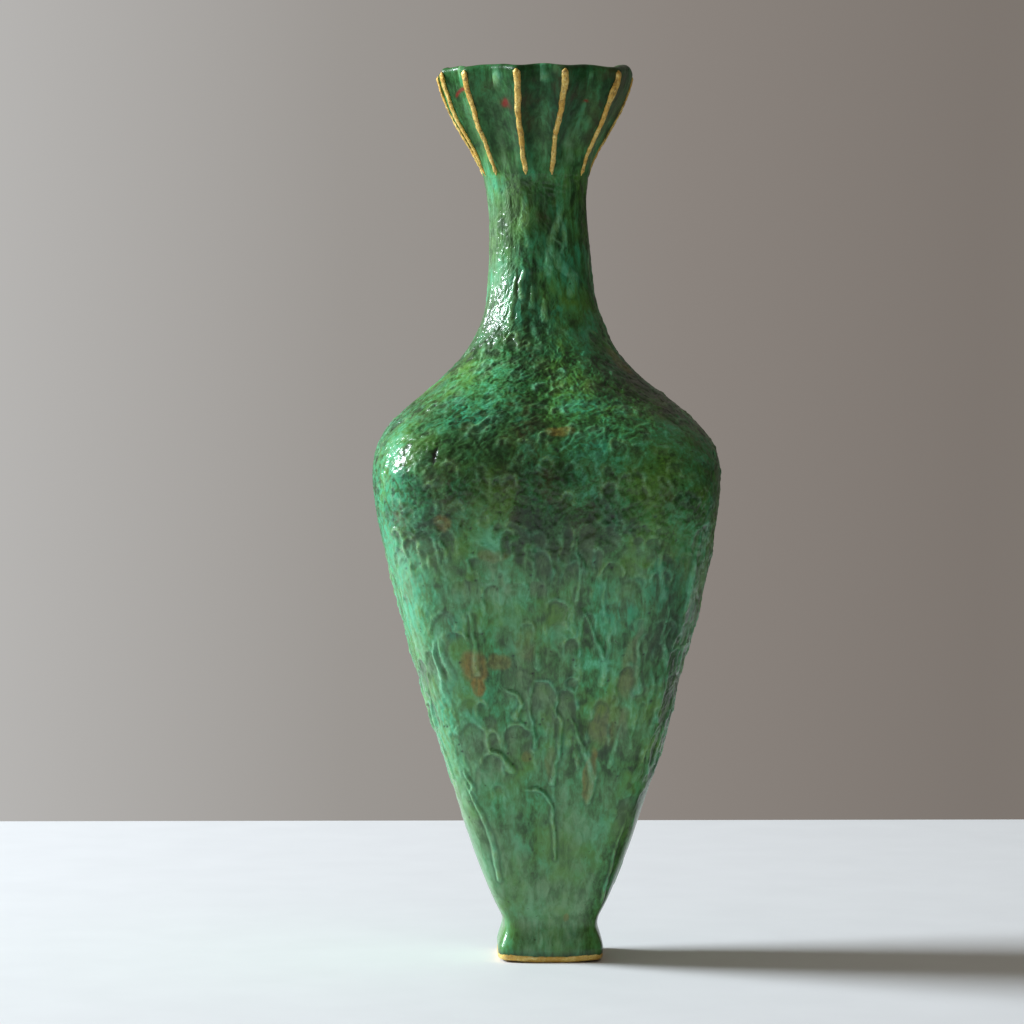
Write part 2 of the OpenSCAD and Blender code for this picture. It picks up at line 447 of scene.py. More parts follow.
    def pit(self, run, column, size, depth):
        """A small dark pinhole."""
        box, across, down = self.near(run, column, 2 * size, 2 * size, 2 * size)
        hole = bump(np.hypot(across, down) / (0.6 * size))
        self.height[box] -= depth * hole
        self.hole[box] = np.maximum(self.hole[box], hole)

    def stain(self, x, z, half_width, half_length, strength):
        """A rust stain on the front, with torn edges."""
        reach = 2 * half_width + 3
        below = 2 * half_length + 3
        box, across, down = self.near(run_at(z), column_at(x, z), below, below, reach, 1.0)
        stain = strength * smooth(2.6 - 2.3 * np.hypot(across / half_width, down / half_length))
        self.rust[box] = np.maximum(self.rust[box], stain)


def column_at(x, z):
    """The column of the front face that passes through a place seen from the front."""
    row = min(np.searchsorted(ROW_Z, z), len(ROW_Z) - 1)
    front = np.where(BASE[row, :, 1] < 0)[0]
    order = np.argsort(BASE[row, front, 0])
    return float(np.interp(x, BASE[row, front, 0][order], front[order]))


def run_at(z):
    return float(np.interp(z, ROW_Z, ROW_RUN))


def scatter(rng, low, high, spread):
    """Random places between two heights, about one for each spread square millimetres."""
    rows = np.where((ROW_Z >= low) & (ROW_Z < high))[0]
    area = (ROW_RUN[rows[-1]] - ROW_RUN[rows[0]]) * SPACING[rows].mean() * COLUMNS
    weights = SPACING[rows] / SPACING[rows].sum()
    count = int(area / spread)
    picked = rng.choice(rows, size=count, p=weights)
    picked = picked[np.argsort(-ROW_Z[picked] + rng.normal(size=count) * 12)]
    return [(ROW_RUN[row], rng.uniform(0, COLUMNS)) for row in picked]


def on_marked_front(run, column):
    """Whether a place is where the front's own arches and drips are."""
    row = min(np.searchsorted(ROW_RUN, run), len(ROW_RUN) - 1)
    x, y, z = BASE[row, int(column) % COLUMNS]
    return y < 0 and -46 < x < 30 and 55 < z < 190


def add_arches(glaze, low, high, spread, widths, lengths, depth, rim, slant):
    """Random arches between two heights, the strong rims fewer than the faint ones."""
    rng = glaze.rng
    for run, column in scatter(rng, low, high, spread):
        width, length = rng.uniform(*widths), rng.uniform(*lengths)
        own_depth, own_rim = depth * rng.uniform(), rim * (0.15 + 0.85 * rng.uniform() ** 2)
        lean, film, milk = rng.uniform(-slant, slant), rng.uniform(0.1, 0.5), rng.uniform(0.1, 0.8)
        if rng.uniform() > 0.25 and on_marked_front(run, column):
            continue
        glaze.scallop(run, column, width, length, own_depth, own_rim, lean, film, milk)


def add_drips(glaze, low, high, spread, lengths, widths, heights, bulb, wander):
    """Random runs of thick glaze between two heights."""
    rng = glaze.rng
    for run, column in scatter(rng, low, high, spread):
        length, width, height = rng.uniform(*lengths), rng.uniform(*widths), rng.uniform(*heights)
        own_bulb, bend = rng.uniform(0, bulb), rng.uniform(-wander, wander)
        phase, lean = rng.uniform(0, 6), rng.uniform(-0.06, 0.06)
        if rng.uniform() > 0.25 and on_marked_front(run, column):
            continue
        glaze.drip(run, column, length, width, height, own_bulb, bend, phase, lean)


def make_glaze():
    """The whole coat: its unevenness, arches, runs, crust and pinholes, from large to small."""
    glaze = Glaze()
    crust = between(Z, 208, 308, 40)
    middle = between(Z, 92, 216, 40)
    lower = between(Z, 8, 96, 26)
    neck = between(Z, 306, 392, 24)

    # Uneven coat: lumps on the shoulder, streaks under it, drapery on the neck.
    lumps = stirred_noise(1, 10.0, 1.3)
    crumbs = crackled_noise(2, 4.2)
    grit = crackled_noise(3, 2.0)
    streaks = streak_noise(4, 4.5, 26.0)
    broad = streak_noise(5, 12.0, 60.0)
    glaze.height += 0.32 * broad * (1 - crust) + 0.09 * streaks * (middle + 0.7 * lower)
    drapery = 0.3 * streak_noise(6, 8.0, 30.0) + 0.25 * stirred_noise(7, 8.0, 1.6)
    glaze.height += neck * (drapery + 0.16 * crumbs + 0.18 * grit)

    # Small arches on the shoulder, wider and longer ones further down.
    add_arches(glaze, 204, 316, 110, (3.0, 8.0), (3, 10), 0.4, 0.6, 0.5)
    add_arches(glaze, 126, 220, 150, (4.0, 12.0), (6, 26), 0.55, 0.95, 0.15)
    add_arches(glaze, 78, 130, 300, (6.0, 14.0), (16, 44), 0.5, 0.9, 0.12)

    # Runs of thick glaze.
    add_drips(glaze, 94, 214, 420, (8, 38), (2.2, 5.0), (0.2, 0.85), 0.35, 1.8)
    add_drips(glaze, 44, 104, 1800, (14, 40), (2.0, 4.0), (0.2, 0.6), 0.1, 1.4)
    add_drips(glaze, 318, 384, 330, (8, 26), (2.6, 6.0), (0.1, 0.4), 0.1, 2.2)
    add_front_features(glaze)

    # Crust over the shoulder and down the right-hand edge, and pinholes.
    edge_crust = between(Z, 88, 196, 30) * bump(np.sin(ANGLES / 2) / 0.2)
    glaze.height += crust * (0.30 * lumps + 0.34 * crumbs + 0.26 * grit)
    glaze.height += edge_crust * (0.35 * crackled_noise(8, 7.0) + 0.3 * crumbs)
    glaze.height += middle * (0.3 * lumps + 0.24 * crumbs + 0.12 * grit)
    glaze.height += lower * 0.04 * crumbs
    glaze.film += crust * (0.10 * crumbs + 0.08 * grit) + middle * 0.06 * crumbs
    for run, column in scatter(glaze.rng, 90, 300, 420):
        glaze.pit(run, column, glaze.rng.uniform(0.6, 1.4), glaze.rng.uniform(0.15, 0.45))
    for run, column in scatter(glaze.rng, 12, 90, 1800):
        glaze.pit(run, column, glaze.rng.uniform(0.5, 1.0), glaze.rng.uniform(0.1, 0.3))
    return glaze


# Arches on the front: x and height of the top, width, length, depth, rim and milkiness.
FRONT_ARCHES = [
    (-6, 206, 8, 20, 0.30, 0.35, 0.3), (2, 182, 10, 22, 0.55, 0.62, 0.7),
    (9, 163, 8, 10, 0.45, 0.40, 0.6), (17, 176, 7, 22, 0.35, 0.45, 0.5),
    (-31, 190, 8, 24, 0.30, 0.35, 0.3), (-40, 176, 7, 16, 0.30, 0.30, 0.2),
    (-5, 142, 12, 26, 0.50, 0.55, 0.8), (6, 138, 10, 30, 0.45, 0.55, 0.8),
    (-17, 121, 14, 24, 0.60, 0.65, 0.9), (-35, 132, 5, 8, 0.50, 0.45, 0.2),
    (-29, 117, 5, 11, 0.55, 0.50, 0.3), (-30, 106, 10, 13, 0.55, 0.55, 0.7),
    (-27, 91, 5, 8, 0.35, 0.40, 0.6), (24, 132, 10, 26, 0.30, 0.35, 0.8),
    (36, 150, 9, 24, 0.30, 0.35, 0.6),
]
# Runs on the front, each a path of places, x and height, with a width, a height and a bulb.
FRONT_TRAILS = [
    ([(-14, 88.5), (-8, 88.5), (-3.5, 86), (0, 79), (1.6, 66), (1.8, 53)], 2.3, 0.8, -0.25),
    ([(-31, 108), (-25, 106), (-20, 98)], 2.6, 0.9, 0.7),
    ([(-12, 133), (-10, 120), (-8, 110)], 2.0, 0.6, 0.2),
    ([(-1, 130), (4, 122), (3, 108), (0, 92)], 2.4, 0.75, 0.3),
    ([(8, 124), (13, 114), (16, 104)], 2.0, 0.55, 0.1),
    ([(16, 108), (20, 94), (17.5, 82)], 3.4, 0.45, -0.2),
    ([(14, 177), (19, 166), (24, 154)], 1.9, 0.55, 0.2),
    ([(-23, 138), (-17, 136), (-15, 131), (-18, 124)], 2.4, 0.8, 0.4),
    ([(-41, 178), (-38, 162), (-37, 146)], 2.8, 0.5, 0.2),
    ([(41, 164), (41, 150), (41, 137)], 2.6, 0.55, 0.5),
    ([(-43, 92), (-34, 76), (-28, 58), (-26, 42)], 2.8, 0.5, -0.1),
    ([(36, 72), (30, 52), (25, 30)], 1.8, 0.4, 0.0),
    ([(-8, 156), (-7.5, 150)], 3.4, 0.6, 0.2),
    ([(5.5, 373), (2, 362), (0, 354), (4, 344), (11, 338), (10, 330)], 5.0, 0.4, 0.1),
    ([(-13, 342), (-14.5, 335), (-14, 328)], 2.8, 0.4, 0.2),
    ([(-3.5, 327), (-3.5, 316)], 2.8, 0.3, 0.2),
    ([(-9, 334), (-9.5, 322)], 2.0, 0.35, 0.2),
]
# Rust stains on the front: x, height, half width, half length and strength.
FRONT_STAINS = [
    (-38, 149, 7, 9, 1.0), (-36, 139, 3.5, 6, 1.0), (-26, 151, 6, 5, 0.6), (18, 95, 3.0, 15, 0.8),
    (-53, 219, 4, 5, 0.6), (3, 262, 7, 3, 0.75), (-30, 203, 8, 3, 0.35), (-12, 104, 3, 3, 0.5),
    (-1, 101, 3, 10, 0.4), (7, 22, 2, 2, 0.6), (34, 296, 6, 9, 0.5), (26, 122, 9, 14, 0.3),
    (-14, 160, 6, 8, 0.25), (37, 148, 5, 18, 0.3),
]
# Copper-red spots on the mouth: x, height and size.
RED_SPOTS = [(-23, 421, 2.0), (16, 423, 1.1), (-46, 427, 0.9)]


def add_front_features(glaze):
    """The arches, runs, stains and the slit that mark the front of the vase."""
    for x, z, width, length, depth, rim, milk in FRONT_ARCHES:
        glaze.scallop(
            run_at(z), column_at(x, z), width, length, 1.3 * depth, 1.6 * rim, 0.0, 0.22, milk, 0.9
        )
    for path, width, height, bulb in FRONT_TRAILS:
        places = [(run_at(z), column_at(x, z)) for x, z in path]
        glaze.trail(places, 1.35 * width, 1.5 * height, bulb)
    for x, z, half_width, half_length, strength in FRONT_STAINS:
        glaze.stain(x, z, half_width, half_length, strength)
    box, across, down = glaze.near(run_at(250), column_at(-57, 250), 10, 10, 6, 0.3)
    slit = smooth((1 - np.hypot(across / 1.3, down / 6.0)) * 2.0)
    glaze.height[box] -= 0.5 * slit
    glaze.hole[box] = np.maximum(glaze.hole[box], slit)


glaze = make_glaze()


def rib_angles():
    """Angle of each gilded rib, where the CAD has it at the rim."""
    angles = {}
    for name in sorted(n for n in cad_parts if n.startswith("rib_")):
        points = np.array([v.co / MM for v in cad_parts[name].data.vertices])
        top = points[points[:, 2] > points[:, 2].max() - 0.1]
        x = top[:, 0].mean() - surface.centres[-1]
        angles[name] = math.atan2(top[:, 1].mean(), x) % (2 * math.pi)
    return angles


RIB_ANGLES = rib_angles()


def turn_from_ribs():
    """For each column, the signed angle from the nearest rib, in degrees."""
    turns = np.array([
        (ANGLES - angle + math.pi) % (2 * math.pi) - math.pi for angle in RIB_ANGLES.values()
    ])
    nearest = np.abs(turns).argmin(axis=0)
    return np.degrees(turns[nearest, np.arange(COLUMNS)])


RIB_TURN = turn_from_ribs()[None, :]
# 0 on a rib's ridge and 1 in the middle of a flute.
FLUTE = 1 - bump(RIB_TURN / 8.0)


def gathered_glaze_and_glint():
    """1 where glaze gathers under the rim, in one half of each flute; its pale colour there is partly a
    painted glint.
    """
    share = smooth((Z - 427) / 7) * FLUTE * smooth(0.1 + space_noise(24, 6.0))
    return share * smooth((Z - 424) / 6) * (RIB_TURN < 0)


GATHERED_GLAZE_AND_GLINT = gathered_glaze_and_glint()


def hand_made_wobble():
    """How far the clay stands out from its even CAD shape."""
    wobble = 0.7 * space_noise(20, 62.0) + 0.35 * space_noise(21, 24.0)
    wobble *= 1 - 0.75 * between(Z, -20, 26, 10)
    wobble *= smooth((Z - 3) / 6)
    # The shoulder and the body are a little flatter on the right, the shoulder fuller on the left.
    wobble -= 2.2 * bump((Z - 291) / 13) * bump(FROM_RIGHT / 38)
    wobble -= 1.7 * between(Z, 128, 250, 60) * bump(FROM_RIGHT / 45)
    wobble += 2.0 * bump((Z - 264) / 18) * bump(FROM_LEFT / 40)
    # The foot has a narrow waist, and the mouth is pulled out a little to the right.
    wobble -= 1.3 * bump((Z - 19) / 9)
    wobble += 1.8 * smooth((Z - 396) / 36) * bump(FROM_RIGHT / 50)
    return wobble


def shaped_outside():
    """The outside with its unevenness, the glaze's relief and the wavy rim."""
    mouth = smooth((Z - 388) / 10)
    relief = glaze.height * (1 - 0.85 * mouth) * smooth((Z - 4) / 8)
    relief += mouth * FLUTE * (0.22 * space_noise(22, 5.0) + 0.10 * space_noise(23, 2.4))
    # The flutes are deepest just above the neck.
    relief -= 2.6 * FLUTE * smooth((Z - 389) / 13) * (1 - smooth((Z - 410) / 24))
    out = hand_made_wobble() + relief + 0.6 * GATHERED_GLAZE_AND_GLINT
    points = BASE + grid_normals(BASE) * out[..., None]
    # The rim dips at the ribs and rises a little towards its two ends.
    points[..., 2] += near_rim(Z) * (1.1 * FLUTE - 0.55 + 0.45 * space_noise(25, 14.0))
    ends = 3.0 * bump(FROM_RIGHT / 30) + 1.2 * bump(FROM_LEFT / 30)
    points[..., 2] += smooth((Z - 404) / 34) * ends
    return points


OUTSIDE = shaped_outside()
OUTSIDE_NORMALS = grid_normals(OUTSIDE)


def front_blob(x, z, half_width, half_height):
    """A soft, torn spot on the front."""
    side = (STIRRED[..., 0] - x) / half_width
    up = (STIRRED[..., 2] - z) / half_height
    return bump(np.hypot(side, up)) * FRONT


def with_blobs(field, blobs):
    for blob in blobs:
        field = np.maximum(field, front_blob(*blob))
    return field


# Patches of colour on the front: x, height, half width and half height.
DARK_BLOBS = [
    (-36, 254, 28, 13), (-8, 243, 38, 15), (-46, 230, 18, 14), (22, 224, 18, 12), (62, 280, 24, 12),
    (40, 294, 16, 14), (22, 356, 8, 44), (-3, 368, 7, 14), (-2, 220, 22, 7), (76, 236, 12, 34),
    (-12, 12, 7, 3.5), (15, 13, 9, 3.5), (58, 170, 10, 40),
]
LIME_BLOBS = [
    (4, 288, 9, 32), (-60, 252, 11, 8), (52, 244, 9, 16), (50, 120, 8, 20), (-24, 14, 5, 12),
    (26, 16, 4, 10), (44, 234, 11, 22), (-12, 372, 9, 14), (72, 224, 8, 26), (-58, 282, 20, 10),
    (10, 330, 9, 18), (-66, 150, 5, 30), (-50, 100, 5, 30),
]
# The small spot at x -50, height 168 is a painted highlight.
MINT_BLOBS = [
    (-80, 216, 15, 40), (20, 256, 10, 7), (-14, 326, 8, 14), (3, 320, 6, 9), (-70, 182, 12, 34),
    (-40, 270, 12, 7), (16, 276, 8, 6), (52, 192, 10, 16), (-50, 168, 6, 4), (10, 344, 7, 9),
    (-52, 120, 9, 26), (30, 176, 10, 8), (11, 336, 6, 8), (-14, 336, 4, 8), (4, 366, 3, 9),
]


# Some fields below paint part of the window's light and shade into the glaze: lighter on the left,
# darker on the right and in the flutes.
def flute_glaze_and_painted_shade():
    """Dark glaze and painted shade in the flutes, beside each rib and under the rim, less of it on the
    left, where the window lights the mouth.
    """
    beside = bump((RIB_TURN - 5.5) / 4.5) + 0.45 * bump((RIB_TURN + 4.5) / 2.5)
    under_rim = smooth((Z - 396) / 30) * (0.85 - 0.25 * smooth((-RIB_TURN - 2) / 8))
    patchy = 0.3 * space_noise(39, 7.0) + 0.25 * space_noise(59, 3.5)
    # Painted light: less dark on the left, where the window lights the mouth.
    painted_light_left = 1 - 0.55 * smooth((-BASE[..., 0] - 16) / 22)
    return smooth((Z - 386) / 14) * np.clip(beside + 1.2 * under_rim + patchy, 0, 1) * painted_light_left


def quiet_front():
    """1 on the front of the belly, where the dark glaze is the widest."""
    return FRONT * between(Z, 194, 300, 24) * bump(BASE[..., 0] / 76)


def right_side_glaze_and_shade():
    """1 on the right-hand side of the body, front and back, where it is painted darker: partly darker
    glaze, partly painted shade away from the window.
    """
    return between(Z, 84, 260, 40) * smooth((SIDE - 0.35) / 0.4)


def left_flank_glaze_and_light():
    """1 on the left-hand flank, front and back, from foot to belly, where it is painted lighter and
    whiter: partly lighter glaze, partly painted light and reflection from the window.
    """
    return between(Z, 26, 214, 50) * smooth((-SIDE - 0.5) / 0.4)


def right_edge():
    """1 along the lower body's right-hand corner, where a dark run of glaze hangs."""
    return FRONT * between(Z, 24, 112, 24) * bump((SIDE - 0.86) / 0.13)


def foot_corners():
    """1 at the corners of the foot, 0 elsewhere."""
    return CORNER[None, :] ** 2 * between(Z, 0, 26, 12)


def colour_fields():
    """The named fields that the glaze's material reads, from 0 to 1."""
    shoulder = between(Z, 200, 312, 40)
    middle = between(Z, 84, 206, 44)
    bottom = between(Z, -30, 88, 44)
    throat = between(Z, 308, 390, 26)
    mouth = smooth((Z - 384) / 12)
    large = stirred_noise(50, 32.0, 1.2)
    medium = stirred_noise(51, 13.0, 1.5)
    small = stirred_noise(52, 6.0, 1.3)
    tiny = stirred_noise(58, 3.2, 1.2)
    veil = 0.7 * streak_noise(53, 9.0, 80.0) + 0.5 * streak_noise(54, 4.0, 45.0)
    fine = streak_noise(55, 2.2, 24.0)

    patches = 0.26 * large + 0.28 * medium + 0.24 * small + 0.16 * tiny
    film = glaze.film + patches * (0.9 + 0.45 * shoulder + 0.25 * middle - 0.35 * bottom)
    film += (middle + bottom) * (0.16 * veil + 0.10 * fine) - 0.06 * shoulder
    film += mouth * (0.16 * veil + 0.14 * fine - 0.5 * patches)
    film += throat * (0.14 * veil + 0.08 * fine - 0.12) - 0.08 * mouth
    # Painted light on the left flank and painted shade on the right side go in here, and in the mint
    # and milk below.
    film += left_flank_glaze_and_light() * (0.1 + 0.15 * fine) - 0.12 * quiet_front()
    film -= 0.2 * foot_corners() + 0.2 * right_edge()
    film += 0.1 * between(Z, 4, 30, 8) - 0.06 * right_side_glaze_and_shade()

    dark = shoulder * smooth(0.35 + 1.5 * stirred_noise(31, 34.0) + 0.6 * medium)
    dark = with_blobs(0.85 * dark, DARK_BLOBS)
    dark = np.maximum(dark, throat * smooth(0.15 + 1.2 * stirred_noise(56, 18.0, 2.0)) * 0.7)
    dark = dark * (0.8 + 0.35 * np.tanh(2.5 * (small + tiny)))
    # The flutes' dark glaze and painted shade join the dark field here.
    dark = np.maximum(dark * (1 - 0.55 * between(Z, -10, 26, 8)), flute_glaze_and_painted_shade())
    dark = np.maximum(dark, 0.8 * bump((Z - 3.5) / 2.2) + 0.1 * foot_corners())

    lime = smooth(0.1 + 1.3 * stirred_noise(33, 24.0, 1.6) + 0.6 * small) * (0.8 - 0.3 * mouth)
    lime = np.maximum(lime, np.maximum(0.8 * foot_corners(), 0.4 * right_edge()))
    lime = with_blobs(lime, LIME_BLOBS) * (1 - 0.3 * bottom)
    mint = smooth(0.05 + 1.2 * stirred_noise(34, 24.0, 1.4) + 0.8 * medium) * (0.85 - 0.5 * mouth)
    mint *= 0.8 * (1 - 0.75 * quiet_front()) * (1 - 0.8 * right_side_glaze_and_shade()) * (1 - 0.5 * left_flank_glaze_and_light())
    mint = with_blobs(mint * (1 - 0.35 * (middle + bottom)), MINT_BLOBS)

    clouds = 0.3 + 0.45 * veil + 0.5 * stirred_noise(57, 18.0, 2.0)
    milk = glaze.milk * 0.7 + (middle + bottom) * clouds
    milk += 0.32 * bottom * between(Z, 4, 120, 30) + 0.4 * left_flank_glaze_and_light() * (1 + veil)
    milk += 0.2 * shoulder * medium
    milk += mouth * between(Z, 390, 424, 14) * FLUTE * (0.55 + 0.6 * veil)
    # The second term, a whitish strip on the left of the throat, is a painted highlight where the
    # window's light falls.
    milk += throat * (0.45 * smooth(veil) + 0.6 * smooth((-BASE[..., 0] - 10) / 12) * (1 + fine))
    milk -= 0.5 * foot_corners() + 0.5 * right_edge() + 0.12 * right_side_glaze_and_shade()
    milk += 0.6 * between(Z, 4, 40, 12) * (1 - CORNER[None, :])
    rust = smooth(-0.75 + 1.4 * stirred_noise(36, 12.0, 1.5)) * 0.6 * between(Z, 20, 300, 20)
    red = np.zeros(Z.shape)
    for x, height, size in RED_SPOTS:
        red = np.maximum(red, front_blob(x, height, size, size))
    fields = {
        "film": film,
        # Gathered glaze under the rim takes the pale crest colour, partly as a painted glint.
        "ridge": np.maximum(glaze.ridge, GATHERED_GLAZE_AND_GLINT),
        "rust": np.maximum(rust, glaze.rust),
        "red": red * 1.5,
        "dark": dark,
        "hole": glaze.hole,
        "lime": lime,
        "mint": mint,
        "milk": milk * (1 - 0.7 * np.clip(dark, 0, 1)),
        "line": glaze.line,
        "flow": middle + bottom + throat + 0.8 * mouth,
        "hollow": 0.5 - 0.4 * glaze.height,
    }
    return {label: np.clip(values, 0, 1) for label, values in fields.items()}


FIELDS = colour_fields()


# ---------------------------------------------------------------- materials

def colour_ramp(tree, value, stops):
    """A colour that follows a value through stops, each a place and a colour."""
    node = tree.nodes.new("ShaderNodeValToRGB")
    elements = node.color_ramp.elements
    while len(elements) < len(stops):
        elements.new(0.5)
    for element, (place, colour) in zip(elements, stops):
        element.position = place
        element.color = (*colour, 1)
    tree.links.new(value, node.inputs["Fac"])
    return node.outputs["Color"]


class Nodes:
    """A short way to build a node tree."""

    def __init__(self, name):
        self.material = bpy.data.materials.new(name)
        self.material.use_nodes = True
        self.tree = self.material.node_tree
        self.tree.nodes.clear()
        self.output = self.tree.nodes.new("ShaderNodeOutputMaterial")
        self.shader = self.tree.nodes.new("ShaderNodeBsdfPrincipled")
        self.link(self.shader.outputs["BSDF"], self.output.inputs["Surface"])
        self.place = self.tree.nodes.new("ShaderNodeTexCoord").outputs["Object"]

    def link(self, source, target):
        self.tree.links.new(source, target)

    def set(self, socket, value):
        """Gives a socket a number, a colour or another node's output."""
        if isinstance(value, bpy.types.NodeSocket):
            self.link(value, socket)
        else:
            socket.default_value = value

    def look(self, name, value):
        """Sets one of the shader's own sockets."""
        self.set(self.shader.inputs[name], value)

    def attribute(self, name):
        node = self.tree.nodes.new("ShaderNodeAttribute")
        node.attribute_name = name
        return node.outputs["Fac"]

    def math(self, operation, a, b, c=0.0):
        node = self.tree.nodes.new("ShaderNodeMath")
        node.operation = operation
        for socket, value in zip(node.inputs, (a, b, c)):
            self.set(socket, value)
        return node.outputs[0]

    def between(self, share, a, b):
        """A value part of the way from one output to another."""
        return self.math("MULTIPLY_ADD", share, self.math("SUBTRACT", b, a), a)

    def noise(self, size_mm, detail=3.0, roughness=0.55, stretch=(1, 1, 1), distortion=0.0):
        mapping = self.tree.nodes.new("ShaderNodeMapping")
        self.link(self.place, mapping.inputs["Vector"])
        mapping.inputs["Scale"].default_value = stretch
        node = self.tree.nodes.new("ShaderNodeTexNoise")
        self.link(mapping.outputs["Vector"], node.inputs["Vector"])
        node.inputs["Scale"].default_value = 1 / (size_mm * MM)
        node.inputs["Detail"].default_value = detail
        node.inputs["Roughness"].default_value = roughness
        node.inputs["Distortion"].default_value = distortion
        return node.outputs["Fac"]

    def range(self, value, low, high, to_low=0.0, to_high=1.0):
        node = self.tree.nodes.new("ShaderNodeMapRange")
        node.interpolation_type = "SMOOTHSTEP"
        names = ("Value", "From Min", "From Max", "To Min", "To Max")
        for name, number in zip(names, (value, low, high, to_low, to_high)):
            self.set(node.inputs[name], number)
        return node.outputs["Result"]

    def share(self, name, value, low, high, least, most):
        """A field of the surface, weakened or strengthened as a value goes from low to high."""
        return self.math("MULTIPLY", self.attribute(name), self.range(value, low, high, least, most))

    def ramp(self, value, stops):
        return colour_ramp(self.tree, value, stops)

    def blend(self, share, a, b):
        node = self.tree.nodes.new("ShaderNodeMix")
        node.data_type = "RGBA"
        node.clamp_factor = True
        for place, value in ((0, share), (6, a), (7, b)):
            if isinstance(value, tuple):
                value = (*value, 1)
            self.set(node.inputs[place], value)
        return node.outputs[2]

    def bump(self, height, distance_mm, strength=1.0, normal=None):
        node = self.tree.nodes.new("ShaderNodeBump")
        node.inputs["Distance"].default_value = distance_mm * MM
        node.inputs["Strength"].default_value = strength
        self.link(height, node.inputs["Height"])
        if normal is not None:
            self.link(normal, node.inputs["Normal"])
        return node.outputs["Normal"]


# The glaze's greens, from where it is the thinnest to where it is the thickest.
GREENS = [
    (0.0, (0.007, 0.034, 0.007)),
    (0.25, (0.020, 0.092, 0.018)),
    (0.5, (0.050, 0.210, 0.058)),
    (0.75, (0.056, 0.340, 0.130)),
    (1.0, (0.120, 0.520, 0.280)),
]
MILK = [(0.35, (0.125, 0.245, 0.115)), (0.65, (0.205, 0.350, 0.185))]
RUST = [(0.3, (0.15, 0.110, 0.018)), (0.7, (0.31, 0.215, 0.040))]


def glaze_depth(n, speckle, mottle):
    """How thick the glaze is at a point, from 0 to 1."""
    depth = n.attribute("film")
    for grain, amount in ((mottle, 0.42), (speckle, 0.26)):
        swing = n.math("SUBTRACT", n.range(grain, 0.3, 0.7), 0.5)
        depth = n.math("MULTIPLY_ADD", swing, amount, depth)
    return depth


def glaze_colour(n, speckle, mottle):
    """The greens, and over them the patches, stains, runs and pinholes."""
    cloud = n.noise(15, 3, 0.55)
    depth = glaze_depth(n, speckle, mottle)
    lime = n.share("lime", cloud, 0.35, 0.65, 0.25, 0.9)
    lime = n.math("MULTIPLY", lime, n.range(depth, 0.0, 0.45, 0.4, 1.0))
    murk = n.blend(n.range(cloud, 0.48, 0.66), (0.006, 0.034, 0.007), (0.036, 0.034, 0.010))
    crest = n.blend(n.range(cloud, 0.4, 0.6), (0.085, 0.400, 0.200), (0.200, 0.400, 0.120))
    crest = n.blend(n.range(speckle, 0.4, 0.65, 0.0, 0.6), crest, (0.300, 0.600, 0.400))
    fleck = n.range(n.noise(2.6, 2, 0.5), 0.70, 0.76)
    colour = n.ramp(depth, GREENS)
    for share, over in (
        (n.share("milk", mottle, 0.3, 0.7, 0.45, 0.85), n.ramp(mottle, MILK)),
        (lime, (0.100, 0.250, 0.022)),
        (n.share("mint", mottle, 0.38, 0.64, 0.05, 0.85), (0.036, 0.390, 0.205)),
        (n.share("dark", mottle, 0.25, 0.68, 1.0, 0.65), murk),
        (n.share("rust", mottle, 0.3, 0.6, 0.45, 0.95), n.ramp(speckle, RUST)),
        (n.share("ridge", mottle, 0.3, 0.6, 0.3, 0.8), crest),
        # The dark lines beside raised glaze: partly darker glaze, partly painted shade.
        (n.math("MULTIPLY", n.attribute("line"), 0.55), (0.012, 0.060, 0.022)),
        (n.math("MULTIPLY", fleck, 0.6), (0.030, 0.040, 0.016)),
        (n.range(n.attribute("hollow"), 0.58, 1.0, 0.0, 0.5), (0.016, 0.050, 0.020)),
        (n.attribute("red"), (0.200, 0.024, 0.010)),
        (n.attribute("hole"), (0.012, 0.012, 0.010)),
    ):
        colour = n.blend(share, colour, over)
    return colour


def green_glaze(name, coat, specular):
    """Running copper glaze: thin and bottle green, thick and milky turquoise."""
    n = Nodes(name)
    # Where the glaze runs, its grain is drawn out downwards.
    flow = n.attribute("flow")
    speckle = n.between(flow, n.noise(1.2, 4, 0.65), n.noise(1.3, 4, 0.65, (1, 1, 0.35)))
    still = n.noise(4.2, 4, 0.6, distortion=0.8)
    mottle = n.between(flow, still, n.noise(3.6, 4, 0.6, (1, 1, 0.28), 0.5))
    fine = n.bump(n.noise(0.9, 3, 0.6), 0.12, 0.5)
    n.look("Base Color", glaze_colour(n, speckle, mottle))
    n.look("Roughness", n.range(mottle, 0.3, 0.7, 0.30, 0.48))
    n.look("Specular IOR Level", specular)
    n.look("Coat Weight", coat)
    n.look("Coat Roughness", 0.07)
    n.look("Coat IOR", 1.45)
    n.look("Normal", n.bump(n.noise(2.4, 3, 0.55), 0.35, 0.55, fine))
    n.look("Coat Normal", n.bump(n.noise(1.5, 4, 0.6), 0.26, 0.7))
    return n.material


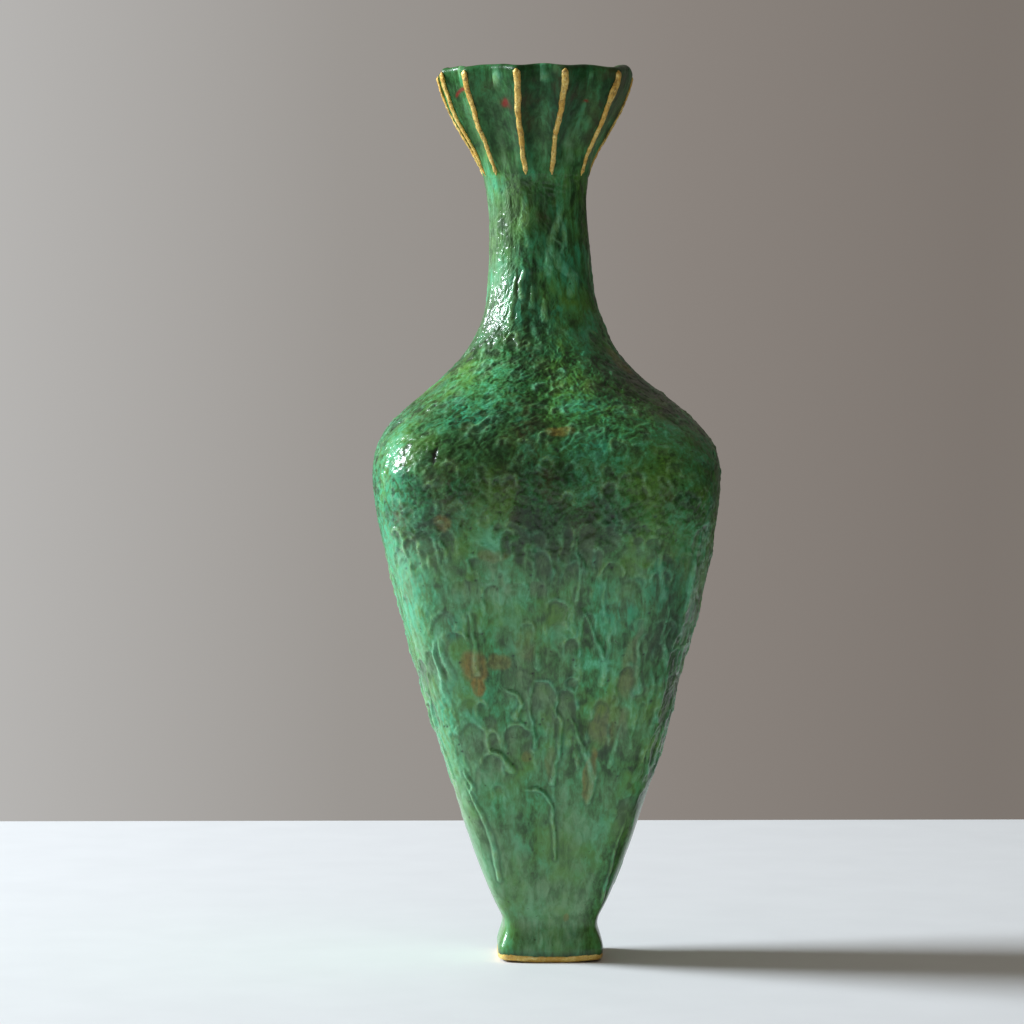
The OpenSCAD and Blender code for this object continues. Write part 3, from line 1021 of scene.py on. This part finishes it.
def gold_lustre(name, worn_share, metallic):
    """Crinkled gold, worn to brown in its hollows."""
    n = Nodes(name)
    crinkle = n.noise(1.5, 4, 0.65, distortion=0.8)
    worn = n.range(n.noise(3.0, 4, 0.7), 0.50, 0.68)
    gold = n.ramp(crinkle, [
        (0.25, (0.52, 0.330, 0.060)),
        (0.5, (0.78, 0.550, 0.140)),
        (0.75, (0.95, 0.800, 0.360)),
    ])
    ochre = n.range(n.noise(7.0, 3, 0.6), 0.42, 0.60, 0.0, 0.75)
    gold = n.blend(ochre, gold, (0.62, 0.340, 0.050))
    gold = n.blend(n.math("MULTIPLY", worn, worn_share), gold, (0.24, 0.135, 0.028))
    n.look("Base Color", gold)
    n.look("Roughness", n.range(crinkle, 0.3, 0.7, 0.58, 0.40))
    n.look("Metallic", metallic)
    n.look("Normal", n.bump(crinkle, 0.35, 0.9))
    return n.material


def bare_clay():
    """Matt buff stoneware with iron specks."""
    n = Nodes("bare_clay")
    grain = n.noise(1.1, 4, 0.65)
    cloud = n.noise(14, 3, 0.5)
    clay = n.ramp(cloud, [(0.35, (0.36, 0.255, 0.160)), (0.65, (0.47, 0.350, 0.235))])
    speck = n.range(n.noise(1.9, 2, 0.5), 0.66, 0.72)
    n.look("Base Color", n.blend(n.math("MULTIPLY", speck, 0.8), clay, (0.07, 0.04, 0.025)))
    n.look("Roughness", n.range(grain, 0.3, 0.7, 0.75, 0.92))
    n.look("Normal", n.bump(grain, 0.25, 0.7))
    return n.material


# ---------------------------------------------------------------- meshes

def grid_faces(rows, columns, closed_rows):
    """Faces of a grid of points whose columns close on themselves."""
    last = rows if closed_rows else rows - 1
    low = np.arange(last)[:, None] * columns
    high = (np.arange(last)[:, None] + 1) % rows * columns
    here = np.arange(columns)[None, :]
    following = (here + 1) % columns
    corners = [low + here, low + following, high + following, high + here]
    return np.stack(corners, axis=-1).reshape(-1, 4)


def make_piece(name, points, faces, material, nodes, fields=None, normals=None):
    """A mesh piece in metres that rides on the body and stands for its CAD nodes."""
    mesh = bpy.data.meshes.new(name)
    mesh.vertices.add(len(points))
    mesh.vertices.foreach_set("co", (np.asarray(points) * MM).ravel())
    sizes = np.array([len(face) for face in faces])
    mesh.loops.add(int(sizes.sum()))
    mesh.loops.foreach_set("vertex_index", np.concatenate([np.asarray(face) for face in faces]))
    mesh.polygons.add(len(faces))
    mesh.polygons.foreach_set("loop_start", np.concatenate([[0], np.cumsum(sizes)[:-1]]))
    mesh.polygons.foreach_set("loop_total", sizes)
    mesh.polygons.foreach_set("use_smooth", np.ones(len(faces), dtype=bool))
    mesh.update(calc_edges=True)
    mesh.validate()
    for label, values in (fields or {}).items():
        layer = mesh.attributes.new(label, "FLOAT", "POINT")
        layer.data.foreach_set("value", values.astype(np.float32))
    if normals is not None:
        mesh.normals_split_custom_set_from_vertices(normals)
    mesh.materials.append(material)
    piece = bpy.data.objects.new(name, mesh)
    bpy.context.scene.collection.objects.link(piece)
    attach(piece, "root")
    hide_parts(*nodes)
    return piece


# The inside's plain dark glaze: its fields, and the rows over which the rim's colours fade.
INSIDE_FIELDS = {"film": 0.3, "dark": 0.55, "lime": 0.1, "milk": 0.1, "hollow": 0.5, "flow": 0.5}
RIM_FADE_ROWS = 14
SKIRT_THICKNESS = 0.5
LEVEL = np.array([1, 1, 0])
BAND_SIDES = 22
# Each rib runs on a little below its CAD end; one rib has a swelling.
RIB_RUN_ON = 4.5
RIB_ROWS, RIB_SIDES = 156, 20
SWOLLEN_RIB = 11


def inside_rings(low, high, rows):
    """Rings on the inside of the wall, from high to low."""
    z = np.linspace(high, low, rows + 1)
    return rippled(surface.points(surface.inner, ANGLES, z), z)


def lap_rings(low):
    """The two rings of a stepped lap, half-way through the wall, from high to low."""
    z = np.array([low + LAP, low])
    return mix(surface.points(surface.outer, ANGLES, z), surface.points(surface.inner, ANGLES, z), 0.5)


def rippled(inner, z):
    """The inside with the faint ripples of the potter's fingers."""
    ripple = 0.3 * Noise(SEED + 50)(*(inner[..., axis] / 20 for axis in range(3)))
    return inner - surface.outward(inner, z) * np.abs(ripple)[..., None]


def clay_section(name, material, socket, spigot):
    """One clay node: relief outside, plain inside, and stepped laps at its joints."""
    first, last = SPANS[name]
    low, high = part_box(name)[0][2] / MM, ROW_Z[last]
    grids = [OUTSIDE[first:last + 1]]
    if spigot:
        grids.append(lap_rings(high)[::-1])
    inner_low = low + (LAP if socket else 0)
    inner_high = high + (LAP if spigot else 0)
    grids.append(inside_rings(inner_low, inner_high, INNER_ROWS))
    if socket:
        grids.append(lap_rings(low))
    if name == "foot_wall":
        grids.append(skirt_back(low))
    return finish_section(name, grids, first, last, material)


def skirt_back(low):
    """The back of the thin glaze that hangs over the base slab's edge."""
    z = np.array([low, SKIRT_LOW])
    outer = surface.points(surface.outer, ANGLES, z)
    return outer - surface.outward(outer, z) * SKIRT_THICKNESS


def mouth_section(material):
    """The mouth: relief outside, a rounded lip, and a fluted inside."""
    first, last = SPANS["mouth"]
    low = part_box("mouth")[0][2] / MM
    rim_outer = OUTSIDE[last]
    rings_z = np.linspace(surface.rim, low + LAP, MOUTH_INNER_ROWS + 1)
    inner = rippled(surface.points(surface.inner, ANGLES, rings_z), rings_z)
    # The inside follows the rim's rise and fall.
    settle = near_rim(rings_z)[:, None]
    inner[..., 2] += settle * (rim_outer[:, 2] - surface.rim)[None, :]
    turns = np.linspace(0, math.pi, LIP_ROWS + 2)[1:-1, None, None]
    top = np.array([0, 0, WALL / 2])
    lip = (rim_outer + inner[0]) / 2 + (rim_outer - inner[0]) / 2 * np.cos(turns) + top * np.sin(turns)
    grids = [OUTSIDE[first:last + 1], lip, inner, lap_rings(low)]
    return finish_section("mouth", grids, first, last, material)


def finish_section(name, grids, first, last, material):
    """Joins a section's rings into one closed shell and gives it its colour fields."""
    rings = np.concatenate(grids)
    outside = last - first + 1
    # The mouth's last outer row and its first inner row belong to the lip.
    lip = 1 if name == "mouth" else 0
    fields = {}
    for label, values in FIELDS.items():
        rows = values[first:last + 1]
        inside = np.full((len(rings) - outside, COLUMNS), INSIDE_FIELDS.get(label, 0.0))
        if lip:
            fade = np.linspace(0, 1, RIM_FADE_ROWS)[:, None]
            inside[:RIM_FADE_ROWS] = mix(rows[-1][None, :], inside[:RIM_FADE_ROWS], fade)
        fields[label] = np.concatenate([rows, inside]).ravel()
    points = rings.reshape(-1, 3)
    faces = grid_faces(len(rings), COLUMNS, True)
    normals = section_normals(points, faces).reshape(rings.shape)
    # Both sides of the wall stay smooth up to their joints.
    start, inner = outside + len(grids[1]), grid_normals(grids[2])
    normals[:outside - lip] = OUTSIDE_NORMALS[first:last + 1 - lip]
    normals[start + lip:start + len(inner)] = inner[lip:]
    return make_piece(
        "vase_" + name, points, faces, material, [name], fields, normals.reshape(-1, 3)
    )


def section_normals(points, faces):
    """Vertex normals of a closed mesh of four-sided faces, weighted by area."""
    a, b, c, d = (points[faces[:, i]] for i in range(4))
    flat = np.cross(c - a, d - b)
    normals = np.zeros_like(points)
    for i in range(4):
        np.add.at(normals, faces[:, i], flat)
    return unit(normals)


def base_slab(material):
    """The slab that closes the bottom: bare clay, a little smaller than the glaze round it."""
    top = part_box("base_slab")[1][2] / MM
    rings = []
    for z, inset in ((0.0, 2.6), (0.15, 1.9), (0.7, 1.2), (1.6, 0.9), (top, 0.7)):
        ring = surface.points(surface.outer, ANGLES, np.array([max(z, 0.05)]))[0]
        ring -= unit(ring * LEVEL) * inset
        ring[:, 2] = z + CORNER * corner_lift(z)
        rings.append(ring)
    rings = [rings[0] * np.array([s, s, 1]) for s in (0.05, 0.3, 0.55, 0.8)] + rings
    rings += [rings[-1] * np.array([s, s, 1]) for s in (0.8, 0.5, 0.2)]
    points = np.concatenate([*rings, [[0, 0, 0.0]], [[0, 0, top]]])
    faces = [list(f) for f in grid_faces(len(rings), COLUMNS, False)]
    count = len(rings) * COLUMNS
    for k in range(COLUMNS):
        following = (k + 1) % COLUMNS
        faces.append([following, k, count])
        faces.append([count - COLUMNS + k, count - COLUMNS + following, count + 1])
    return make_piece("vase_base_slab", points, faces, material, ["base_slab"])


def corner_lift(z):
    """How far the foot's underside is lifted at its corners."""
    return 1.1 * (1 - smooth(z / 5))


def base_gilding(material):
    """The crinkled gold band round the foot, higher at the corners."""
    turn = 2 * math.pi * np.arange(COLUMNS) / COLUMNS
    noise = Noise(SEED + 60)
    low = 0.12 + 1.0 * CORNER
    high = 3.1 + 1.3 * CORNER + 0.35 * noise(np.cos(turn) * 9, np.sin(turn) * 9, 0 * turn)
    foot = surface.points(surface.outer, ANGLES, np.array([2.0]))[0]
    rings = []
    for t in 2 * math.pi * np.arange(BAND_SIDES) / BAND_SIDES:
        out = 0.42 + 0.5 * math.copysign(abs(math.cos(t)) ** 0.6, math.cos(t))
        up = 0.5 + 0.5 * math.copysign(abs(math.sin(t)) ** 0.75, math.sin(t))
        z = mix(low, high, up)
        crinkle = 0.16 * noise(foot[:, 0] / 1.3, foot[:, 1] / 1.3, z / 1.1)
        tuck = 1.1 * (1 - up) ** 2.5
        ring = foot + unit(foot * LEVEL) * (out - 0.35 - tuck + crinkle)[:, None]
        ring[:, 2] = z
        rings.append(ring)
    points = np.concatenate(rings)
    faces = grid_faces(BAND_SIDES, COLUMNS, True)
    return make_piece("vase_base_gilding", points, faces, material, ["base_gilding"])


def rib_line(name):
    """Points along a rib's ridge on the mouth, and the directions across it and out of it."""
    points = np.array([v.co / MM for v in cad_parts[name].data.vertices])
    low, high = points[:, 2].min(), points[:, 2].max()
    z = np.linspace(low - RIB_RUN_ON, high + 0.6, RIB_ROWS)
    knots = np.unique(np.round(points[:, 2], 2))
    angles = []
    for knot in knots:
        ring = points[np.abs(points[:, 2] - knot) < 0.02]
        centre = np.interp(knot, surface.heights, surface.centres)
        out = ring[np.argmax(np.hypot(ring[:, 0] - centre, ring[:, 1]))]
        angles.append(math.atan2(out[1], out[0] - centre))
    angle = np.interp(z, knots, np.unwrap(angles)) % (2 * math.pi)
    rows = np.interp(z, ROW_Z, np.arange(len(ROW_Z)))
    column = np.interp(angle, np.unwrap(ANGLES), np.arange(COLUMNS))
    here = sample_grid(OUTSIDE, rows, column)
    here[:, 2] += np.maximum(z - surface.rim, 0)
    along = unit(np.gradient(here, axis=0))
    side = unit(np.cross(along, sample_grid(OUTSIDE_NORMALS, rows, column)))
    return here, side, np.cross(side, along)


def gilded_rib(name, material):
    """One gilded rib: a crinkled strip pinched on to the ridge between two flutes."""
    number = int(name[-2:])
    here, side, outward = rib_line(name)
    noise = Noise(SEED + 200 + number)
    t = np.linspace(0, 1, RIB_ROWS)
    still = 0 * t
    ends = smooth(t / 0.045) * smooth((1 - t) / 0.03)
    half = mix(1.1, 1.8, t ** 1.3) + 0.38 * noise(t * 5, still + 3.1, still)
    half = (half + 0.22 * noise(t * 22, still + 7.7, still)) * (0.3 + 0.7 * ends)
    if number == SWOLLEN_RIB:
        half += 0.9 * bump((t - 0.8) / 0.09)
    height = (mix(0.9, 1.25, t) + 0.2 * noise(t * 9, still, still + 5.5)) * (0.2 + 0.8 * ends)
    sway = 0.9 * noise(t * 4, still, still + 9.2) + 0.3 * noise(t * 11, still, still + 2.6)
    here = here + side * (sway * ends)[:, None]
    grid = []
    for turn in 2 * math.pi * np.arange(RIB_SIDES) / RIB_SIDES:
        rise = math.sin(turn) * (height if math.sin(turn) > 0 else still + 0.6)
        point = here + side * (math.cos(turn) * half)[:, None] + outward * rise[:, None]
        crease = noise(point[:, 0] / 1.5, point[:, 1] / 1.5, point[:, 2] / 1.8)
        grid.append(point + outward * (0.3 * crease * (0.3 + 0.7 * ends))[:, None])
    grid = np.stack(grid, axis=1)
    count = RIB_ROWS * RIB_SIDES
    faces = [list(f) for f in grid_faces(RIB_ROWS, RIB_SIDES, False)]
    faces.append(list(range(RIB_SIDES - 1, -1, -1)))
    faces.append(list(range(count - RIB_SIDES, count)))
    faces = [f[::-1] for f in faces]
    return make_piece("vase_" + name, grid.reshape(-1, 3), faces, material, [name])


def sample_grid(grid, rows, columns):
    """Values between the points of a grid whose columns close on themselves."""
    low = np.clip(np.floor(rows).astype(int), 0, len(grid) - 2)
    left = np.floor(columns).astype(int)
    up = (rows - low)[:, None]
    right = (columns - left)[:, None]
    near, far = left % COLUMNS, (left + 1) % COLUMNS
    bottom = mix(grid[low, near], grid[low, far], right)
    top = mix(grid[low + 1, near], grid[low + 1, far], right)
    return mix(bottom, top, up)


def build_vase():
    body_glaze = green_glaze("body_glaze", 0.5, 0.22)
    mouth_glaze = green_glaze("mouth_glaze", 0.18, 0.12)
    gold = gold_lustre("rib_gold", 0.9, 0.35)
    base_slab(bare_clay())
    base_gilding(gold_lustre("base_gold", 0.2, 0.1))
    for name in CLAY_ROWS:
        if name == "mouth":
            mouth_section(mouth_glaze)
        else:
            clay_section(name, body_glaze, socket=name != "foot_wall", spigot=True)
    for name in RIB_ANGLES:
        gilded_rib(name, gold)


build_vase()


# ---------------------------------------------------------------- stage, light and camera

TABLE_REACH = 0.6
WINDOW_PLACE = (-3.3, 0.48, 1.9)
WINDOW_TARGET = (0, 0, 0.2)
WINDOW_SIZE = (1.2, 1.0)
WINDOW_POWER = 262
WINDOW_COLOUR = (0.92, 1.0, 1.08)
# Greys of the room from left to right: the wall the camera sees, and the walls and the
# ceiling that light the vase.
WALL_GREYS = [
    (0.0, (0.500, 0.492, 0.480)),
    (0.4, (0.330, 0.310, 0.290)),
    (0.72, (0.258, 0.230, 0.208)),
    (1.0, (0.205, 0.180, 0.160)),
]
ROOM_GREYS = [
    (0.0, (0.38, 0.355, 0.32)),
    (0.5, (0.23, 0.212, 0.185)),
    (0.66, (0.11, 0.100, 0.085)),
    (1.0, (0.07, 0.062, 0.052)),
]
CEILING_GREYS = [(0.0, (0.27, 0.25, 0.22)), (1.0, (0.19, 0.175, 0.15))]
# The camera: metres from the vase and over the table, millimetres of lens, degrees of angle.
CAMERA_DISTANCE = 1.868
CAMERA_HEIGHT = 0.278
LENS = 132
SENSOR = 36
AZIMUTH = -1.5
TILT = 1.732
PAN = 0.577


def plain(name, colour, roughness):
    """A plain surface with the faint unevenness of paint."""
    n = Nodes(name)
    tone = n.noise(45, 4, 0.55)
    dim = tuple(0.965 * c for c in colour)
    n.look("Base Color", n.ramp(tone, [(0.3, dim), (0.7, colour)]))
    n.look("Roughness", roughness)
    return n.material


def table_top():
    """A pale table, wide enough for every view."""
    mesh = bpy.data.meshes.new("table")
    r = TABLE_REACH
    mesh.from_pydata(
        [(-2 * r, -3 * r, 0), (2 * r, -3 * r, 0), (2 * r, r, 0), (-2 * r, r, 0)], [], [(0, 1, 2, 3)]
    )
    mesh.materials.append(plain("table_paint", (0.79, 0.795, 0.80), 0.6))
    table = bpy.data.objects.new("table", mesh)
    bpy.context.scene.collection.objects.link(table)


def window():
    """A soft window on the left."""
    data = bpy.data.lights.new("window", "AREA")
    data.shape = "RECTANGLE"
    data.size, data.size_y = WINDOW_SIZE
    data.energy = WINDOW_POWER
    data.color = WINDOW_COLOUR
    light = bpy.data.objects.new("window", data)
    light.location = WINDOW_PLACE
    heading = Vector(WINDOW_TARGET) - Vector(WINDOW_PLACE)
    light.rotation_euler = heading.to_track_quat("-Z", "Y").to_euler()
    bpy.context.scene.collection.objects.link(light)


def along(tree, value, low, high, stops):
    """A colour that changes along an axis."""
    span = tree.nodes.new("ShaderNodeMapRange")
    tree.links.new(value, span.inputs["Value"])
    span.inputs["From Min"].default_value = low
    span.inputs["From Max"].default_value = high
    return colour_ramp(tree, span.outputs["Result"], stops)


def background(tree, colour):
    node = tree.nodes.new("ShaderNodeBackground")
    tree.links.new(colour, node.inputs["Color"])
    return node.outputs[0]


def room():
    """A plain room, brighter on the window's side. Camera rays see a grey wall in its place."""
    world = bpy.data.worlds.new("room")
    bpy.context.scene.world = world
    world.use_nodes = True
    tree = world.node_tree
    tree.nodes.clear()
    out = tree.nodes.new("ShaderNodeOutputWorld")
    place = tree.nodes.new("ShaderNodeTexCoord")
    axes = tree.nodes.new("ShaderNodeSeparateXYZ")
    tree.links.new(place.outputs["Generated"], axes.inputs[0])
    wall = along(tree, axes.outputs["X"], -0.14, 0.14, WALL_GREYS)
    around = along(tree, axes.outputs["X"], -0.9, 0.9, ROOM_GREYS)
    ceiling = along(tree, axes.outputs["X"], -0.9, 0.9, CEILING_GREYS)
    rise = along(tree, axes.outputs["Z"], 0.15, 0.75, [(0.0, (0, 0, 0)), (1.0, (1, 1, 1))])
    mixed = tree.nodes.new("ShaderNodeMix")
    mixed.data_type = "RGBA"
    tree.links.new(rise, mixed.inputs[0])
    tree.links.new(around, mixed.inputs[6])
    tree.links.new(ceiling, mixed.inputs[7])
    path = tree.nodes.new("ShaderNodeLightPath")
    choose = tree.nodes.new("ShaderNodeMixShader")
    tree.links.new(path.outputs["Is Camera Ray"], choose.inputs[0])
    tree.links.new(background(tree, mixed.outputs[2]), choose.inputs[1])
    tree.links.new(background(tree, wall), choose.inputs[2])
    tree.links.new(choose.outputs[0], out.inputs["Surface"])


def camera():
    """A long lens a little to the left of the vase and below its middle."""
    data = bpy.data.cameras.new("camera")
    data.lens = LENS
    data.sensor_width = SENSOR
    data.clip_end = 20
    eye = bpy.data.objects.new("camera", data)
    azimuth = math.radians(AZIMUTH)
    eye.location = (
        CAMERA_DISTANCE * math.sin(azimuth), -CAMERA_DISTANCE * math.cos(azimuth), CAMERA_HEIGHT
    )
    eye.rotation_euler = (math.radians(90 - TILT), 0, azimuth + math.radians(PAN))
    bpy.context.scene.collection.objects.link(eye)
    bpy.context.scene.camera = eye


table_top()
window()
room()
camera()
bpy.context.scene.view_settings.view_transform = "Standard"
